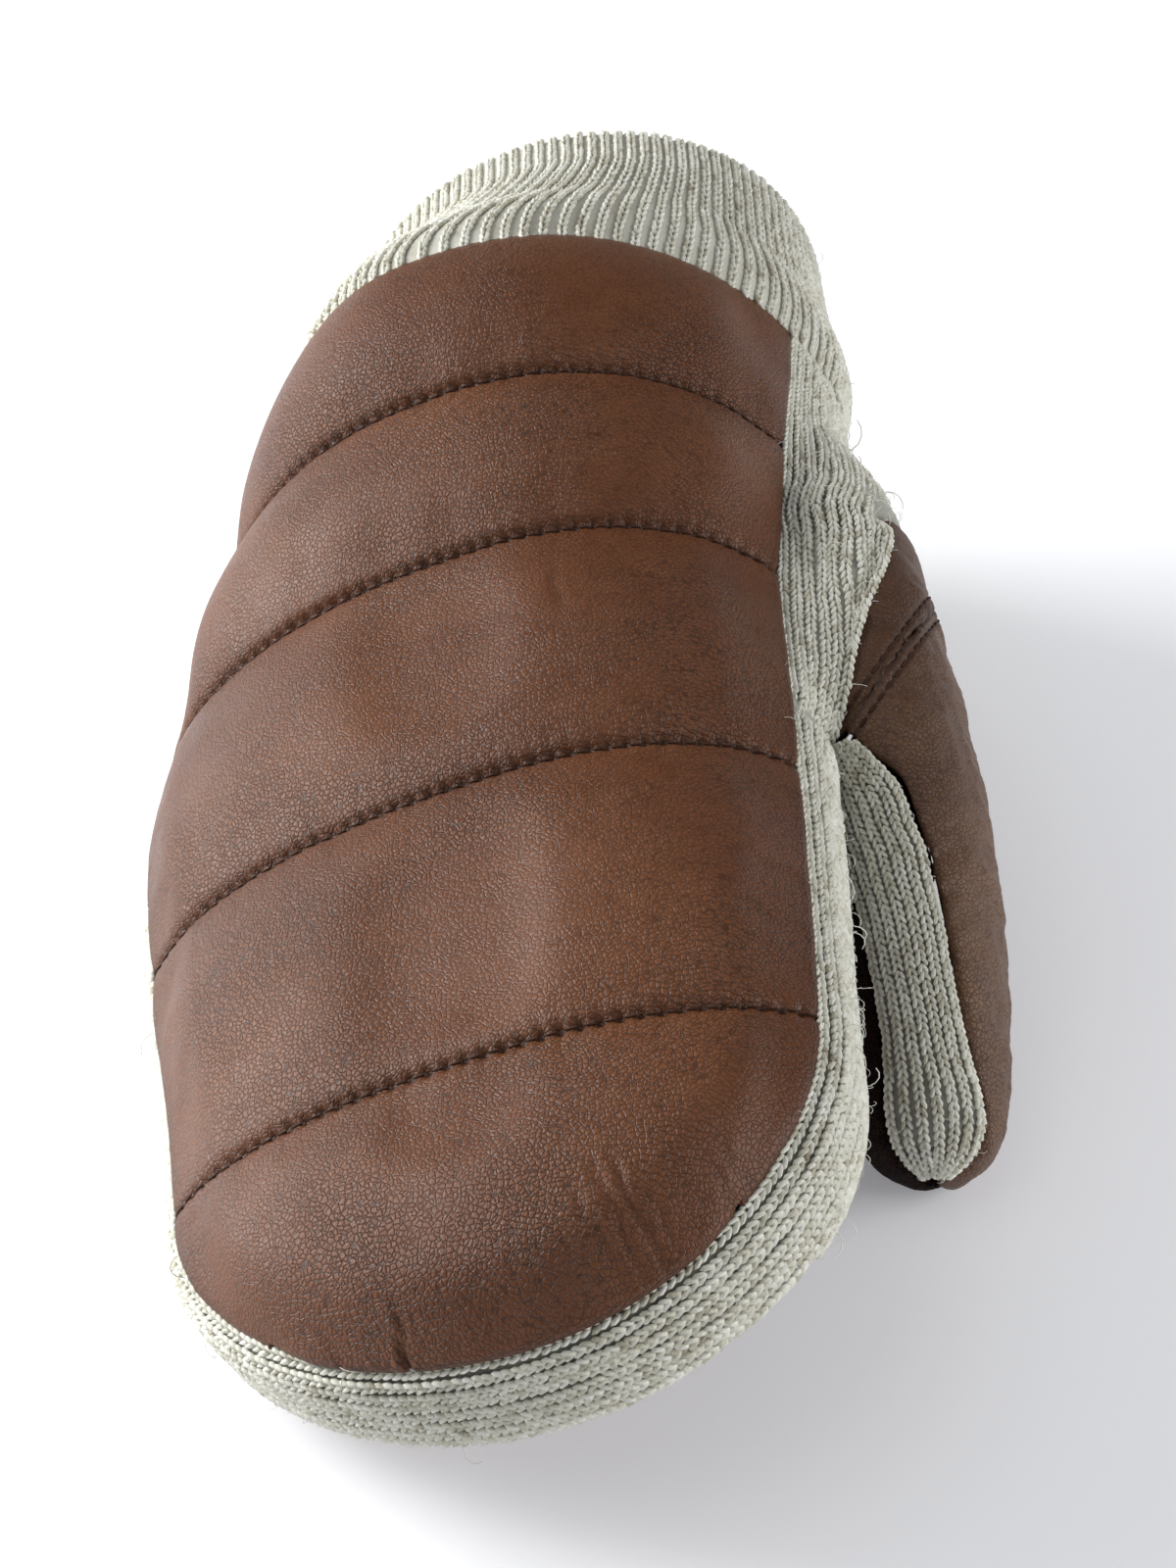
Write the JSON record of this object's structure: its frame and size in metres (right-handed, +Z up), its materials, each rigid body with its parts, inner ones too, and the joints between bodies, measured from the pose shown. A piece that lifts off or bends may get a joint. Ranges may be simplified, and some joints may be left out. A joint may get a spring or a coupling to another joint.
{
  "type": "leather mitten",
  "caption": "Padded right-hand leather mitten with a cross-quilted back, ribbed knit side gusset, knit cuff and set-in thumb, lying palm down.",
  "frame": {"origin": "centre of the footprint of the bounding box, on the surface the mitten lies on", "axes": "+Z up from that surface; +Y from the fingertips to the cuff; +X towards the thumb"},
  "size_m": [0.1336, 0.2416, 0.0864],
  "materials": {
    "back_leather": "smooth nappa with a soft sheen",
    "palm_leather": "smooth nappa, slightly darker",
    "side_gusset": "ribbed wool knit, oatmeal melange",
    "cuff_knit": "fine ribbed wool knit, oatmeal melange",
    "thumb_leather": "smooth nappa",
    "thumb_knit": "ribbed wool knit",
    "thumb_inner": "dark matt leather"
  },
  "bodies": {
    "root": {"back_leather": "back_leather", "palm_leather": "palm_leather", "side_gusset": "side_gusset", "cuff_knit": "cuff_knit", "thumb_leather": "thumb_leather", "thumb_knit": "thumb_knit", "thumb_inner": "thumb_inner"}
  },
  "joints": []
}
